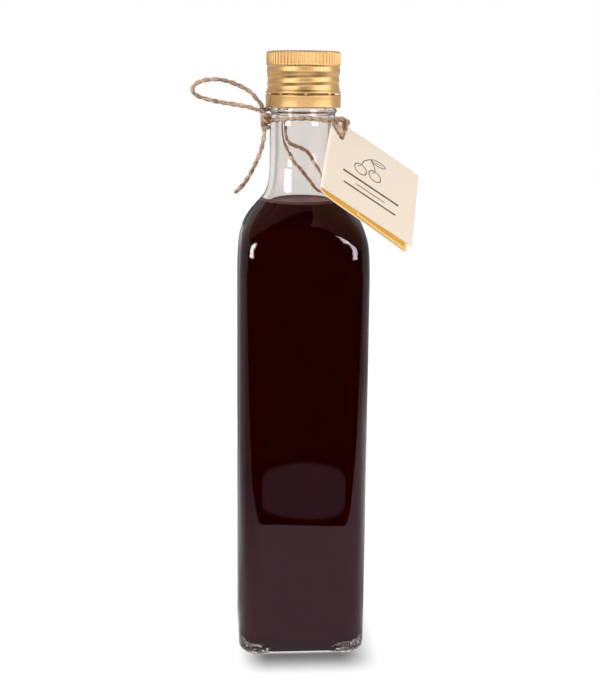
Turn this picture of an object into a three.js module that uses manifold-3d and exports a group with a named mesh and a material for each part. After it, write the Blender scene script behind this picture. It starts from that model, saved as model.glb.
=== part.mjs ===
// A square glass bottle of dark cherry syrup with a gold screw cap, a bow of jute twine tied round
// its neck and a folded card tag that hangs on the twine.
// Millimetres, +Z up. The origin is the centre of the base, and the front face looks along -Y.
import * as THREE from 'three';
import { mergeVertices } from 'three/addons/utils/BufferGeometryUtils.js';
import Module from 'manifold-3d';

const wasm = await Module();
wasm.setup();

// Driving dimensions
const SYRUP_GAP = 0.8;
const BODY_WIDTH = 55.9;
const BODY_EDGE_RADIUS = 10;
const BASE_EDGE_RADIUS = 3;
const WALL = 3;
const BASE_THICKNESS = 4;
const FLOOR_EDGE_RADIUS = 5;
const SHOULDER_BOTTOM = 161.5;
const SHOULDER_TOP = 200;
const SHOULDER_TOP_RADIUS = 18.55;
const SHOULDER_SLOPE = THREE.MathUtils.degToRad(46);
const SHOULDER_RISE = 22;
const SHOULDER_DROP = 12.4;
const FLARE_LENGTH = 3.3;
const FLARE_HEIGHT = 9.8;
const EDGES_FADE_FROM = 180;
const NECK_BOTTOM = 215;
const NECK_RADIUS = 14.24;
const THROAT_BOTTOM = 230;
const THROAT_RADIUS = 13.8;
const MOUTH_RADIUS = 13.5;
const MOUTH_HEIGHT = 260.8;
const BORE_RADIUS = 11;
const SYRUP_LEVEL = 198;
const CAP_BOTTOM = 238.8;
const CAP_HEIGHT = 23.5;
const CAP_WALL = 0.6;
const CAP_TOP_THICKNESS = 1.1;
const CAP_WAIST_RADIUS = 15.1;
const KNURLS = 64;
const KNURL_DEPTH = 0.4;
const SLITS = 9;
const SLIT_HEIGHT = 0.6;
const BRIDGE_ANGLE = THREE.MathUtils.degToRad(5);
const FIRST_BRIDGE = THREE.MathUtils.degToRad(30);
const TWINE = 2;
const TWINE_SIDES = 8;
const TWINE_COLOR = 0xb08a66;
const WRAP_RADIUS = THROAT_RADIUS + TWINE / 2 + 0.5;
const WRAP_HEIGHT = 232.8;
const WRAP_FRONT_RISE = 1.8;
const WRAP_BACK_RISE = 2.6;
const KNOT_CENTRE = new THREE.Vector3(-16.7, -5, 233.4);
const KNOT_HALF = new THREE.Vector3(2.1, 2.6, 4.8);
const CARD = 0.5;
const TAG_WIDTH = 47;
const TAG_HEIGHT = 46;
const TAG_OPENING = 2.6;
const TAG_LOW_CORNER = new THREE.Vector3(4.15, -46.82, 209.16);
const TAG_TURN = new THREE.Euler(
  THREE.MathUtils.degToRad(-54.8), THREE.MathUtils.degToRad(9.8), THREE.MathUtils.degToRad(33.6));
const HOLE_FROM_SPINE = 5.7;
const HOLE_FROM_TOP = 9.2;
const HOLE_RADIUS = 1.8;

// Glass sections are rounded squares. Each quarter has its points closer together at the corner.
const FLAT_STEPS = 2;
const CORNER_STEPS = 4;
const GLASS_SEGMENTS = 8 * (FLAT_STEPS + CORNER_STEPS);
const CORNER_START = Math.atan((BODY_WIDTH / 2 - BODY_EDGE_RADIUS) / (BODY_WIDTH / 2));

const group = new THREE.Group();

function addMesh(name, geometry, color, roughness, metalness, opacity = 1) {
  const material = new THREE.MeshStandardMaterial({ color, roughness, metalness });
  material.transparent = opacity < 1;
  material.opacity = opacity;
  const mesh = new THREE.Mesh(geometry, material);
  mesh.name = name;
  group.add(mesh);
  return mesh;
}

// Solids for joining and cutting

function toSolid(geometry) {
  const bare = geometry.clone();
  bare.deleteAttribute('normal');
  bare.deleteAttribute('uv');
  const merged = mergeVertices(bare, 1e-4);
  const index = merged.index.array;
  const triangles = [];
  for (let i = 0; i < index.length; i += 3) {
    const [a, b, c] = [index[i], index[i + 1], index[i + 2]];
    if (a !== b && b !== c && c !== a) triangles.push(a, b, c);
  }
  return new wasm.Manifold(new wasm.Mesh({
    numProp: 3,
    vertProperties: new Float32Array(merged.attributes.position.array),
    triVerts: new Uint32Array(triangles),
  }));
}

function toGeometry(solid) {
  const mesh = solid.getMesh();
  const geometry = new THREE.BufferGeometry();
  geometry.setAttribute('position', new THREE.BufferAttribute(mesh.vertProperties, 3));
  geometry.setIndex(new THREE.BufferAttribute(mesh.triVerts, 1));
  geometry.computeVertexNormals();
  return geometry;
}

function join(geometries) {
  return toGeometry(geometries.map(toSolid).reduce((whole, piece) => whole.add(piece)));
}

// Bottle form: each level has a half width and the radius of its four upright edges

function edgeRadiusAt(halfWidth, z) {
  const t = THREE.MathUtils.smoothstep(z, EDGES_FADE_FROM, SHOULDER_TOP);
  const squareRadius = BODY_EDGE_RADIUS - Math.max(BODY_WIDTH / 2 - halfWidth, 0);
  return Math.min(halfWidth, THREE.MathUtils.lerp(Math.max(squareRadius, 1), halfWidth, t));
}

function sectionAngle(step) {
  const perOctant = FLAT_STEPS + CORNER_STEPS;
  const octant = Math.floor(step / perOctant);
  const within = step - octant * perOctant;
  const fromFlat = octant % 2 === 0 ? within : perOctant - within;
  const corner = Math.PI / 4 - CORNER_START;
  const angle = fromFlat <= FLAT_STEPS
    ? (CORNER_START * fromFlat) / FLAT_STEPS
    : CORNER_START + (corner * (fromFlat - FLAT_STEPS)) / CORNER_STEPS;
  const base = Math.PI / 4 * octant;
  return octant % 2 === 0 ? base + angle : base + Math.PI / 4 - angle;
}

function roundedSquareRadius(angle, halfWidth, edgeRadius) {
  const along = Math.max(Math.abs(Math.cos(angle)), Math.abs(Math.sin(angle)));
  const across = Math.min(Math.abs(Math.cos(angle)), Math.abs(Math.sin(angle)));
  const flat = halfWidth - edgeRadius;
  if ((halfWidth * across) / along <= flat) return halfWidth / along;
  const reach = flat * (along + across);
  return reach + Math.sqrt(Math.max(reach * reach - 2 * flat * flat + edgeRadius * edgeRadius, 0));
}

// A lathe whose rounds are squared off. Levels are { w, z, c }: half width, height, edge radius.
function squaredLathe(levels) {
  const outline = levels.map((level) => new THREE.Vector2(level.w, level.z));
  const geometry = new THREE.LatheGeometry(outline, GLASS_SEGMENTS);
  const position = geometry.attributes.position;
  for (let i = 0; i < position.count; i += 1) {
    const step = Math.floor(i / levels.length) % GLASS_SEGMENTS;
    const level = levels[i % levels.length];
    const angle = sectionAngle(step);
    const radius = level.w === 0 ? 0 : roundedSquareRadius(angle, level.w, level.c);
    position.setXYZ(i, radius * Math.cos(angle), radius * Math.sin(angle), level.z);
  }
  return geometry;
}

// Outline of the shoulder from the flat sides up to the neck, moved inwards by inset
function shoulderLevels(inset, steps) {
  const half = BODY_WIDTH / 2;
  const crest = new THREE.Vector2(SHOULDER_TOP_RADIUS, SHOULDER_TOP);
  const slope = new THREE.Vector2(Math.cos(SHOULDER_SLOPE), -Math.sin(SHOULDER_SLOPE));
  const dome = new THREE.CubicBezierCurve(
    new THREE.Vector2(half, SHOULDER_BOTTOM), new THREE.Vector2(half, SHOULDER_BOTTOM + SHOULDER_RISE),
    crest.clone().addScaledVector(slope, SHOULDER_DROP), crest);
  const flare = new THREE.CubicBezierCurve(
    crest, crest.clone().addScaledVector(slope, -FLARE_LENGTH),
    new THREE.Vector2(NECK_RADIUS, NECK_BOTTOM - FLARE_HEIGHT),
    new THREE.Vector2(NECK_RADIUS, NECK_BOTTOM));
  const levels = [];
  for (const curve of [dome, flare]) {
    for (let i = curve === dome ? 0 : 1; i <= steps; i += 1) {
      const point = curve.getPoint(i / steps);
      const tangent = curve.getTangent(i / steps);
      const flat = point.x - edgeRadiusAt(point.x, point.y);
      const halfWidth = point.x - inset * tangent.y;
      levels.push({ w: halfWidth, z: point.y + inset * tangent.x, c: halfWidth - flat });
    }
  }
  return levels;
}

// Levels round the lower edge of the outside or of the inside, from the bottom up to the flat sides
function footLevels(inset, floor, round, steps) {
  const half = BODY_WIDTH / 2 - inset;
  const edge = BODY_EDGE_RADIUS - inset;
  const levels = [];
  for (let i = 0; i <= steps; i += 1) {
    const turn = (Math.PI / 2) * (i / steps);
    const pulledIn = round * (1 - Math.sin(turn));
    levels.push({ w: half - pulledIn, z: floor + round * (1 - Math.cos(turn)), c: edge - pulledIn });
  }
  return levels;
}

function roundLevel(radius, z) {
  return { w: radius, z, c: radius };
}

function makeGlass() {
  const outside = [
    { w: 0, z: 0, c: 0 },
    ...footLevels(0, 0, BASE_EDGE_RADIUS, 3),
    ...shoulderLevels(0, 9),
    roundLevel(NECK_RADIUS, THROAT_BOTTOM - 3),
    roundLevel(THROAT_RADIUS, THROAT_BOTTOM),
    roundLevel(THROAT_RADIUS, CAP_BOTTOM),
    roundLevel(MOUTH_RADIUS, CAP_BOTTOM + 1),
    roundLevel(MOUTH_RADIUS, MOUTH_HEIGHT),
  ];
  const inside = [
    roundLevel(BORE_RADIUS, MOUTH_HEIGHT),
    ...shoulderLevels(WALL, 9).reverse(),
    ...footLevels(WALL, BASE_THICKNESS, FLOOR_EDGE_RADIUS, 3).reverse(),
    { w: 0, z: BASE_THICKNESS, c: 0 },
  ];
  addMesh('glass_bottle', squaredLathe([...outside, ...inside]), 0xdfe6e2, 0.05, 0, 0.35);
}

// The syrup fills the inside up to its level, a hair clear of the glass.
function makeSyrup() {
  const inset = WALL + SYRUP_GAP;
  const sides = [
    ...footLevels(inset, BASE_THICKNESS + SYRUP_GAP, FLOOR_EDGE_RADIUS, 3),
    ...shoulderLevels(inset, 9),
  ];
  const above = sides.findIndex((level) => level.z > SYRUP_LEVEL);
  const [low, high] = [sides[above - 1], sides[above]];
  const t = (SYRUP_LEVEL - low.z) / (high.z - low.z);
  const surface = {
    w: THREE.MathUtils.lerp(low.w, high.w, t),
    z: SYRUP_LEVEL,
    c: THREE.MathUtils.lerp(low.c, high.c, t),
  };
  const levels = [
    { w: 0, z: BASE_THICKNESS + SYRUP_GAP, c: 0 },
    ...sides.slice(0, above),
    surface,
    { w: 0, z: SYRUP_LEVEL, c: 0 },
  ];
  addMesh('syrup', squaredLathe(levels), 0x2a0404, 0.1, 0);
}

// Screw cap: a knurled top band, rolled thread waves, and a band held on by bridges below a slit

const CAP_OUTLINE = [
  // height above the cap's lower edge, radius
  [0, 16.05], [4.9, 16.0], [5.6, 15.7], [6.4, 15.95], [7.3, 15.6], [9.2, 15.1],
  [10.8, 15.4], [12.5, 15.1], [15.2, 15.6], [16.6, 15.4], [23.0, 15.2],
];
const KNURL_BOTTOM = 17.6;
const KNURL_TOP = 22.9;
const KNURL_RADIUS = 15.75;
const CAP_RIM_RADIUS = 14.8;
const SLIT_CENTRE = 5.7;
const SLIT_INNER_RADIUS = 14;
const SLIT_OUTER_RADIUS = 17;
const CAP_SEGMENTS = 64;

function capOutline(points) {
  return points.map(([height, radius]) => new THREE.Vector2(radius, CAP_BOTTOM + height));
}

function standLathe(points, segments) {
  return new THREE.LatheGeometry(capOutline(points), segments).rotateX(Math.PI / 2);
}

// A ring whose outside has one rib for every second segment
function knurledRing() {
  const inner = KNURL_RADIUS - 2 * KNURL_DEPTH - 0.2;
  const points = [
    [KNURL_BOTTOM - 0.5, inner], [KNURL_BOTTOM, KNURL_RADIUS], [KNURL_TOP, KNURL_RADIUS],
    [CAP_HEIGHT - 0.2, inner], [KNURL_BOTTOM - 0.5, inner],
  ];
  const ring = standLathe(points, 2 * KNURLS);
  const position = ring.attributes.position;
  for (let i = 0; i < position.count; i += 1) {
    const step = Math.floor(i / points.length);
    const outside = points[i % points.length][1] === KNURL_RADIUS;
    if (outside && step % 2 === 1) {
      const scale = (KNURL_RADIUS - KNURL_DEPTH) / KNURL_RADIUS;
      position.setXY(i, position.getX(i) * scale, position.getY(i) * scale);
    }
  }
  return ring;
}

function makeCap() {
  const innerRadius = CAP_WAIST_RADIUS - CAP_WALL;
  const roof = CAP_HEIGHT - CAP_TOP_THICKNESS;
  const shell = standLathe([
    [roof, 0], [roof, innerRadius], [7, innerRadius], [5.6, innerRadius + 0.6], [0, innerRadius + 0.6],
    ...CAP_OUTLINE,
    [CAP_HEIGHT, CAP_RIM_RADIUS], [CAP_HEIGHT, 0],
  ], CAP_SEGMENTS);
  const cap = cutSlits(toSolid(shell)).add(toSolid(knurledRing()));
  addMesh('cap', toGeometry(cap), 0xd7af69, 0.3, 0.9);
}

function cutSlits(shell) {
  const pitch = (2 * Math.PI) / SLITS;
  const low = CAP_BOTTOM + SLIT_CENTRE - SLIT_HEIGHT / 2;
  const high = low + SLIT_HEIGHT;
  let cut = shell;
  for (let i = 0; i < SLITS; i += 1) {
    const sector = new THREE.Shape();
    const start = FIRST_BRIDGE + BRIDGE_ANGLE / 2 + i * pitch;
    const end = start + pitch - BRIDGE_ANGLE;
    sector.absarc(0, 0, SLIT_OUTER_RADIUS, start, end, false);
    sector.absarc(0, 0, SLIT_INNER_RADIUS, end, start, true);
    const slit = new THREE.ExtrudeGeometry(sector, {
      depth: high - low, bevelEnabled: false, curveSegments: 6,
    });
    slit.translate(0, 0, low);
    cut = cut.subtract(toSolid(slit));
  }
  return cut;
}

// Twine

function polygon(radius, sides) {
  const shape = new THREE.Shape();
  for (let i = 0; i < sides; i += 1) {
    const angle = (2 * Math.PI * i) / sides;
    const [x, y] = [radius * Math.cos(angle), radius * Math.sin(angle)];
    if (i === 0) shape.moveTo(x, y);
    else shape.lineTo(x, y);
  }
  shape.closePath();
  return shape;
}

function tube(points, diameter, stepLength) {
  const path = new THREE.CatmullRomCurve3(points.map((p) => new THREE.Vector3(...p)), false, 'centripetal');
  const steps = Math.max(2, Math.round(path.getLength() / stepLength));
  return new THREE.ExtrudeGeometry(polygon(diameter / 2, TWINE_SIDES), {
    steps, extrudePath: path, bevelEnabled: false,
  });
}

function wrapPoint(degrees) {
  const angle = THREE.MathUtils.degToRad(degrees);
  const back = Math.sin(angle);
  return [
    WRAP_RADIUS * Math.cos(angle),
    WRAP_RADIUS * back,
    WRAP_HEIGHT + (back > 0 ? WRAP_BACK_RISE : -WRAP_FRONT_RISE) * back,
  ];
}

// A point near the tag's top corner: distance from the spine, below the top edge and behind the face
function nearTag(fromSpine, below, behind) {
  const point = new THREE.Vector3(fromSpine, behind, TAG_HEIGHT - below).applyEuler(TAG_TURN);
  return point.add(TAG_LOW_CORNER).toArray();
}

// From the knot across the front of the neck, over the tag's top corner, and round behind the neck
const WRAP_PATH = [
  ...[199, 215, 232, 250, 268, 284].map(wrapPoint),
  nearTag(-4.6, 8.4, -1.6),
  nearTag(-1.9, 5.6, -1.6),
  nearTag(1.3, 2.0, -1.6),
  nearTag(4.2, -0.3, -1.6),
  nearTag(6.7, -0.9, -1.6),
  nearTag(7.7, -2.2, 0.3),
  nearTag(7.0, -4.6, 2.6),
  ...[-4, 12, 32, 52, 72, 92, 112, 132, 152, 172, 190].map(wrapPoint),
];

// From the wrap down over the face of the tag, through its hole and up behind it
const HITCH_PATH = [
  nearTag(0.4, 3.0, -1.6),
  nearTag(2.4, 6.2, -1.6),
  nearTag(4.6, 8.5, -1.7),
  nearTag(5.7, 9.2, -0.6),
  nearTag(5.7, 9.2, 1.6),
  nearTag(5.7, 9.1, 3.6),
  nearTag(5.5, 8.1, 5.0),
  nearTag(5.1, 6.2, 5.1),
  nearTag(4.8, 3.4, 4.6),
  nearTag(4.6, -0.6, 4.2),
  nearTag(4.6, -3.6, 3.1),
];
const HITCH_RETURN = [nearTag(5.6, 9.0, -1.5), nearTag(6.1, 5.0, -1.7), nearTag(6.6, -0.6, -1.6)];

// The bow's knot: one lump with two tight turns of twine across it
function makeNeckTwine() {
  const lump = new THREE.SphereGeometry(1, 12, 8);
  lump.scale(KNOT_HALF.x, KNOT_HALF.y, KNOT_HALF.z);
  lump.translate(KNOT_CENTRE.x, KNOT_CENTRE.y, KNOT_CENTRE.z);
  const turns = [-1.6, 1.3].map((rise) => {
    const turn = new THREE.TorusGeometry(1.75, TWINE / 2, TWINE_SIDES, 12);
    turn.scale(1, 1.25, 1);
    turn.rotateY(THREE.MathUtils.degToRad(12));
    turn.translate(KNOT_CENTRE.x, KNOT_CENTRE.y, KNOT_CENTRE.z + rise);
    return turn;
  });
  const twine = join([
    tube(WRAP_PATH, TWINE, 2.5),
    tube(HITCH_PATH, TWINE, 2),
    tube(HITCH_RETURN, TWINE, 2),
    lump,
    ...turns,
  ]);
  addMesh('twine_neck', twine, TWINE_COLOR, 0.9, 0);
}

// Free ends of the bow, from the knot: a loop to the left, a tail, and a loop behind the neck
const LEFT_LOOP = [
  [-17.4, -4.3, 238.8], [-18.3, -3.9, 240.3],
  [-19.9, -3.7, 242.1], [-22.2, -3.2, 244.7], [-25.3, -2.6, 246.8],
  [-28.8, -2.1, 248.3], [-32.5, -1.8, 249.6], [-37.1, -1.6, 250.3], [-41.7, -1.8, 249.9],
  [-45.2, -2.4, 248.6], [-47.0, -3.4, 246.6], [-46.6, -4.5, 244.7], [-44.7, -5.4, 243.3],
  [-41.8, -6.0, 242.3], [-37.6, -6.5, 241.3], [-32.9, -6.8, 240.5], [-27.4, -6.9, 239.7],
  [-23.2, -6.9, 238.9], [-19.7, -6.7, 237.8],
];
const LEFT_TAIL = [
  [-16.7, -5.0, 228.3], [-17.1, -5.3, 225.6], [-17.6, -5.6, 222.9], [-18.4, -5.8, 220.3],
  [-19.3, -6.0, 217.9], [-20.4, -6.2, 215.5], [-21.6, -6.3, 213.1], [-22.9, -6.4, 210.7],
  [-24.4, -6.4, 208.3], [-26.2, -6.3, 205.9], [-28.5, -6.1, 203.6], [-29.6, -6.0, 202.6],
];
const BACK_LOOP = [
  [-11.9, 12.8, 232.8], [-11.8, 13.0, 230.2], [-11.5, 13.3, 227.8], [-10.9, 13.8, 225.3],
  [-9.3, 14.9, 222.2],
  [-6.9, 16.0, 219.3], [-4.0, 16.9, 216.0], [-1.0, 17.4, 213.0], [2.2, 18.0, 209.6], [5.5, 18.8, 206.2],
  [8.4, 19.5, 203.1], [11.2, 20.0, 201.2], [13.7, 19.9, 201.4], [15.2, 19.4, 203.6],
  [14.9, 18.8, 206.6], [12.9, 18.2, 209.3], [11.0, 17.5, 211.3], [9.1, 16.9, 213.5],
  [7.2, 16.8, 216.0], [4.9, 17.0, 218.4], [2.2, 17.3, 220.1], [-0.8, 17.3, 221.3],
  [-4.0, 17.0, 222.2], [-6.9, 16.3, 223.5], [-8.7, 15.6, 225.5], [-9.3, 15.2, 227.7],
  [-9.4, 15.1, 230.2], [-9.5, 15.0, 232.8],
];

function makeFreeTwine() {
  addMesh('twine_loop_left', tube(LEFT_LOOP, TWINE, 4), TWINE_COLOR, 0.9, 0);
  addMesh('twine_tail_left', tube(LEFT_TAIL, TWINE, 4), TWINE_COLOR, 0.9, 0);
  addMesh('twine_loop_back', tube(BACK_LOOP, TWINE, 4), TWINE_COLOR, 0.9, 0);
}

// Card tag: a front leaf, a rounded spine, a back leaf and a third leaf folded in from its far end.
// Its own X runs from the spine along the card, Y runs back into the fold and Z up the spine.

function strip(centre, thickness) {
  const sides = [1, -1].map((sign) => centre.map((point, i) => {
    const before = centre[Math.max(i - 1, 0)];
    const after = centre[Math.min(i + 1, centre.length - 1)];
    const along = after.clone().sub(before).normalize();
    return new THREE.Vector2(-along.y, along.x).multiplyScalar((sign * thickness) / 2).add(point);
  }));
  return new THREE.Shape([...sides[0], ...sides[1].reverse()]);
}

function makeTag() {
  const half = CARD / 2;
  const fold = (x, y) => new THREE.Vector2(x, y);
  const centre = [
    fold(TAG_WIDTH, half), fold(24, half), fold(3, half), fold(0.9, half + 0.05),
    fold(half, 0.8), fold(0.9, 1.5), fold(3.2, 2.3), fold(8, TAG_OPENING + half),
    fold(28, TAG_OPENING + half + 0.2), fold(TAG_WIDTH + 0.2, TAG_OPENING + half),
    fold(TAG_WIDTH + 0.7, TAG_OPENING - 0.15), fold(TAG_WIDTH, TAG_OPENING - half - 0.15),
    fold(34, 1.9), fold(20, 1.2),
  ];
  const card = new THREE.ExtrudeGeometry(strip(centre, CARD), { depth: TAG_HEIGHT, bevelEnabled: false });
  const punch = new THREE.CylinderGeometry(HOLE_RADIUS, HOLE_RADIUS, 4 * TAG_OPENING, 16);
  punch.translate(HOLE_FROM_SPINE, 0, TAG_HEIGHT - HOLE_FROM_TOP);
  const punched = toGeometry(toSolid(card).subtract(toSolid(punch)));
  const tag = addMesh('tag', punched, 0xf6e6d0, 0.8, 0);
  tag.position.copy(TAG_LOW_CORNER);
  tag.rotation.copy(TAG_TURN);
}

makeGlass();
makeSyrup();
makeCap();
makeNeckTwine();
makeFreeTwine();
makeTag();

export default group;
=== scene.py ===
import math

import bpy
import numpy as np
from mathutils import Matrix, Vector


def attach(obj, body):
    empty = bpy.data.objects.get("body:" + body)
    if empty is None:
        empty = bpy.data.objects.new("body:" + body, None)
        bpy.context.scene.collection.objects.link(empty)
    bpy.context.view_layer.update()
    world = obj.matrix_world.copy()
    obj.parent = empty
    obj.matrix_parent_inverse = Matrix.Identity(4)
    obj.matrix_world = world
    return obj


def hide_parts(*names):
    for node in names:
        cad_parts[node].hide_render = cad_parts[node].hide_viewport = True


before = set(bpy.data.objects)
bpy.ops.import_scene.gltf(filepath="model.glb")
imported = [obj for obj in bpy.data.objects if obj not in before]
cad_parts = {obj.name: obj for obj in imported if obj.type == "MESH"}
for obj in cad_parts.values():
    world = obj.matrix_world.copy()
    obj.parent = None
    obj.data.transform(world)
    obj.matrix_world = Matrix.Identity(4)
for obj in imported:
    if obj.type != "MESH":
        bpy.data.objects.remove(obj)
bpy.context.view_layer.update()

MM = 0.001
scene = bpy.context.scene

# Camera

CAMERA_POSITION = (-38.01, -548.14, 248.42)
CAMERA_RIGHT = (0.9977, -0.0666, 0.0090)
CAMERA_UP = (0.0045, 0.2006, 0.9797)
SENSOR = 36
LENS = 66.29


def make_camera():
    right = Vector(CAMERA_RIGHT).normalized()
    back = right.cross(Vector(CAMERA_UP)).normalized()
    up = back.cross(right)
    turn = Matrix((right, up, back)).transposed().to_4x4()
    data = bpy.data.cameras.new("camera")
    data.sensor_fit = "AUTO"
    data.sensor_width = SENSOR
    data.lens = LENS
    camera = bpy.data.objects.new("camera", data)
    camera.matrix_world = Matrix.Translation(Vector(CAMERA_POSITION) * MM) @ turn
    scene.collection.objects.link(camera)
    scene.camera = camera


make_camera()

# Materials

GLASS_IOR = 1.5
SYRUP_IOR = 1.33
# The ripple in the glass of the foot fades over these heights and starts this far from the middle
RIPPLE_TOP = (0.004, 0.011)
RIPPLE_START = (0.012, 0.020)
RIPPLE_SCALE = 260
RIPPLE_DEPTH = 0.001
GRAIN_DEPTH = 0.0002
JUTE_DARK = (0.22, 0.13, 0.08)
JUTE_LIGHT = (0.60, 0.415, 0.29)


class Shades:
    """Adds nodes to one node tree and joins them up."""

    def __init__(self, tree):
        self.nodes, self.links = tree.nodes, tree.links

    def add(self, kind, inputs):
        """A new node with a value or another node's output in each of the inputs."""
        node = self.nodes.new(kind)
        for name, value in inputs.items():
            if isinstance(value, bpy.types.NodeSocket):
                self.links.new(value, node.inputs[name])
            else:
                node.inputs[name].default_value = value
        return node

    def math(self, operation, first, second=0.0):
        node = self.add("ShaderNodeMath", {0: first, 1: second})
        node.operation = operation
        return node.outputs["Value"]

    def product(self, first, *others):
        for other in others:
            first = self.math("MULTIPLY", first, other)
        return first

    def range(self, value, low, high, out_low=0.0, out_high=1.0):
        """Smooth step from out_low, where the value is low, to out_high, where it is high."""
        node = self.add("ShaderNodeMapRange", {
            "Value": value, "From Min": low, "From Max": high, "To Min": out_low, "To Max": out_high})
        node.interpolation_type = "SMOOTHSTEP"
        return node.outputs["Result"]

    def between(self, value, lower, upper):
        """1 between two slopes, each given by the places where it starts and ends."""
        return self.product(self.range(value, *lower), self.range(value, *upper, 1.0, 0.0))

    def field(self, x, y, left, right, front, back):
        return self.product(self.between(x, left, right), self.between(y, front, back))

    def pick(self, choice, first, second):
        """First where choice is 0 and second where it is 1."""
        return self.add("ShaderNodeMix", {"Factor": choice, "A": first, "B": second}).outputs["Result"]

    def place(self, output):
        return self.nodes.new("ShaderNodeTexCoord").outputs[output]

    def split(self, output):
        node = self.add("ShaderNodeSeparateXYZ", {"Vector": self.place(output)})
        return [node.outputs[name] for name in "XYZ"]

    def noise(self, scale, detail=2.0):
        inputs = {"Vector": self.place("Object"), "Scale": scale, "Detail": detail}
        return self.add("ShaderNodeTexNoise", inputs).outputs["Fac"]

    def bump(self, shader, height, strength, distance=GRAIN_DEPTH):
        node = self.add("ShaderNodeBump", {"Strength": strength, "Distance": distance, "Height": height})
        self.links.new(node.outputs["Normal"], shader.inputs["Normal"])

    def ray(self, kind):
        return self.nodes.new("ShaderNodeLightPath").outputs[f"Is {kind} Ray"]

    def mirrored(self):
        """1 for light that a sharp reflection sends on its way."""
        return self.product(self.ray("Reflection"), self.ray("Singular"))

    def mix(self, choice, first, second):
        return self.add("ShaderNodeMixShader", {0: choice, 1: first, 2: second}).outputs["Shader"]

    def glow(self, kind, color, strength):
        return self.add(kind, {"Color": (*color, 1), "Strength": strength}).outputs[0]


def new_material(name, color, roughness, metallic=0.0):
    material = bpy.data.materials.new(name)
    material.use_nodes = True
    shader = material.node_tree.nodes["Principled BSDF"]
    shader.inputs["Base Color"].default_value = (*color, 1)
    shader.inputs["Roughness"].default_value = roughness
    shader.inputs["Metallic"].default_value = metallic
    return material, shader


def glass_material():
    """Clear glass with ripples in the corners of its foot, where the light breaks into glints."""
    material, shader = new_material("clear_glass", (0.955, 0.93, 0.912), 0.0)
    shader.inputs["IOR"].default_value = GLASS_IOR
    shader.inputs["Transmission Weight"].default_value = 1
    shades = Shades(material.node_tree)
    x, _, z = shades.split("Object")
    low = shades.range(z, *RIPPLE_TOP, 1.0, 0.0)
    aside = shades.range(shades.math("ABSOLUTE", x), *RIPPLE_START)
    shades.bump(shader, shades.product(low, aside, shades.noise(RIPPLE_SCALE)), 1.0, RIPPLE_DEPTH)
    return material


def syrup_material():
    """Syrup this dark lets no light through, so it is a dark red body without a shine of its own."""
    material, shader = new_material("cherry_syrup", (0.015, 0.0003, 0.0004), 0.5)
    shader.inputs["Specular IOR Level"].default_value = 0
    return material


def syrup_surface_material():
    """Light scatters in the thin rim and the skin of the syrup, which looks a dull warm grey."""
    material, shader = new_material("syrup_surface", (0.13, 0.075, 0.07), 0.3)
    shader.inputs["IOR"].default_value = SYRUP_IOR
    shader.inputs["Specular IOR Level"].default_value = 0.03
    return material


def gold_material():
    """Satin lacquered metal with fine specks."""
    material, shader = new_material("gold_cap", (0.88, 0.54, 0.235), 0.36, 1.0)
    shades = Shades(material.node_tree)
    shades.bump(shader, shades.noise(900, 3), 0.06)
    return material


def jute_material():
    """Twine that is darker where a fine noise times a wide one is low."""
    material, shader = new_material("jute_twine", (0.45, 0.29, 0.18), 0.85)
    shades = Shades(material.node_tree)
    fine, wide = shades.noise(2200, 4), shades.noise(260)
    ramp = shades.nodes.new("ShaderNodeValToRGB")
    dark, light = ramp.color_ramp.elements
    dark.position, light.position = 0.16, 0.34
    dark.color, light.color = (*JUTE_DARK, 1), (*JUTE_LIGHT, 1)
    shades.links.new(shades.product(fine, wide), ramp.inputs["Fac"])
    shades.links.new(ramp.outputs["Color"], shader.inputs["Base Color"])
    shades.bump(shader, fine, 0.5)
    return material


def card_material(name, color, roughness, glow=0.0):
    """Card with a fine grain. Glow stands for the daylight that comes through it from behind."""
    material, shader = new_material(name, color, roughness)
    shader.inputs["Emission Color"].default_value = (*color, 1)
    shader.inputs["Emission Strength"].default_value = glow
    shades = Shades(material.node_tree)
    shades.bump(shader, shades.noise(1500, 4), 0.08)
    return material


CLEAR_GLASS = glass_material()
CHERRY_SYRUP = syrup_material()
SYRUP_SURFACE = syrup_surface_material()
GOLD = gold_material()
JUTE = jute_material()
CREAM_CARD = card_material("cream_card", (0.92, 0.81, 0.67), 0.6)
ORANGE_CARD = card_material("orange_card", (0.84, 0.60, 0.19), 0.6, 0.2)
# Brown on the back leaf, which faces the bottle, is painted shade: it stands in for the dim reddish
# light there
PAINTED_SHADE_CARD = card_material("painted_shade_card", (0.72, 0.30, 0.17), 0.6)
BROWN_INK = card_material("brown_ink", (0.13, 0.08, 0.055), 0.7)

# Meshes

pieces = {}


def make_piece(name, points, faces, materials, nodes=(), sharp=40, face_materials=None):
    mesh = bpy.data.meshes.new(name)
    mesh.from_pydata((np.asarray(points) * MM).tolist(), [], faces)
    for material in materials:
        mesh.materials.append(material)
    if face_materials is not None:
        mesh.polygons.foreach_set("material_index", face_materials)
    mesh.shade_smooth()
    mesh.set_sharp_from_angle(angle=math.radians(sharp))
    piece = bpy.data.objects.new(name, mesh)
    scene.collection.objects.link(piece)
    pieces[name] = piece
    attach(piece, "root")
    if nodes:
        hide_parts(*nodes)
    return piece


def ring(radius, angles, z):
    return np.stack([radius * np.cos(angles), radius * np.sin(angles), np.full(len(angles), z)], 1)


def ring_faces(rings, sides, joined=False):
    """Quads between rings of points. Where they are joined, the last ring meets the first."""
    step, side = np.meshgrid(np.arange(rings if joined else rings - 1), np.arange(sides), indexing="ij")
    low, high = step * sides, (step + 1) % rings * sides
    after = (side + 1) % sides
    return np.stack([low + side, low + after, high + after, high + side], -1).reshape(-1, 4).tolist()


def tube_faces(rings, sides):
    """Quads between rings of points, and a flat face at either end."""
    last = (rings - 1) * sides
    ends = [list(range(sides))[::-1], list(range(last, last + sides))]
    return ring_faces(rings, sides) + ends


def merge(parts):
    points, faces, count = [], [], 0
    for part_points, part_faces in parts:
        points.append(part_points)
        faces += [[count + i for i in face] for face in part_faces]
        count += len(part_points)
    return np.vstack(points), faces


# Lines through points

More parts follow.
